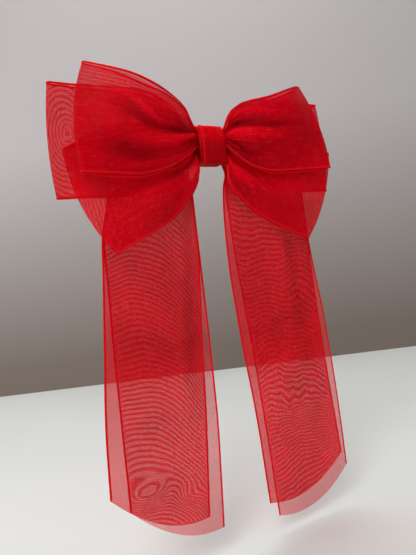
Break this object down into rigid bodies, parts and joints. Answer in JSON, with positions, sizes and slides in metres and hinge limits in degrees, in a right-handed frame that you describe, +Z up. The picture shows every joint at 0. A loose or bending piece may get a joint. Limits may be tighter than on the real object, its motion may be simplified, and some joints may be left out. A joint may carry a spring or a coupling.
{
  "type": "hair bow",
  "caption": "Long-tail sheer organza hair bow with stacked loops, hanging tails and a knot wrap, on a spring barrette that clips into a ponytail.",
  "frame": {"origin": "middle of the clip's hair gap, behind the knot", "axes": "+X to the viewer's right along the clip, -Y out of the decorative front, +Z up; the tails hang down -Z"},
  "size_m": [0.1984, 0.0471, 0.297],
  "materials": {
    "organza": "sheer plain weave",
    "wrap_organza": "folded organza",
    "thread": "twisted thread",
    "felt": "matt felt",
    "nickel_steel": "nickel plated",
    "spring_steel": "satin"
  },
  "bodies": {
    "bow": {"upper_loop_ribbon": "organza", "lower_loop_ribbon": "organza", "rear_loop_ribbon": "organza", "centre_wrap": "wrap_organza", "gathering_thread": "thread", "backing_pad": "felt", "base_plate": "nickel_steel", "hinge_pin": "nickel_steel", "tension_bar": "spring_steel", "clasp_foot": "spring_steel", "clasp_rivet": "nickel_steel"},
    "arm": {"locking_arm": "nickel_steel"},
    "prong_upper": {"clasp_prong_upper": "spring_steel"},
    "prong_lower": {"clasp_prong_lower": "spring_steel"},
    "left_tail_front": {"tail_left_front": "organza"},
    "left_tail_rear": {"tail_left_rear": "organza"},
    "right_tail_front": {"tail_right_front": "organza"},
    "right_tail_rear": {"tail_right_rear": "organza"}
  },
  "joints": [
    {"name": "arm_hinge", "type": "hinge", "parent": "bow", "child": "arm", "pos_m": [0.0385, 0.0003, 0], "axis": [0, 0, -1], "range_deg": [0, 95]},
    {"name": "prong_upper_squeeze", "type": "slide", "parent": "bow", "child": "prong_upper", "axis": [0, 0, -1], "range_m": [0, 0.0008], "stiffness_N_per_m": 20},
    {"name": "prong_lower_squeeze", "type": "slide", "parent": "bow", "child": "prong_lower", "axis": [0, 0, 1], "range_m": [0, 0.0008], "stiffness_N_per_m": 20},
    {"name": "left_tail_front_swing", "type": "hinge", "parent": "bow", "child": "left_tail_front", "pos_m": [-0.006, -0.0121, 0], "axis": [0, 1, 0], "range_deg": [-4, 12], "stiffness_Nm_per_rad": 0.03},
    {"name": "left_tail_rear_swing", "type": "hinge", "parent": "bow", "child": "left_tail_rear", "pos_m": [-0.006, -0.0107, 0], "axis": [0, 1, 0], "range_deg": [-4, 12], "stiffness_Nm_per_rad": 0.03},
    {"name": "right_tail_front_swing", "type": "hinge", "parent": "bow", "child": "right_tail_front", "pos_m": [0.006, -0.0121, 0], "axis": [0, -1, 0], "range_deg": [-4, 12], "stiffness_Nm_per_rad": 0.03},
    {"name": "right_tail_rear_swing", "type": "hinge", "parent": "bow", "child": "right_tail_rear", "pos_m": [0.006, -0.0107, 0], "axis": [0, -1, 0], "range_deg": [-4, 12], "stiffness_Nm_per_rad": 0.03}
  ],
  "couplings": [
    {"joint": "prong_lower_squeeze", "follows": "prong_upper_squeeze", "ratio": 1}
  ]
}
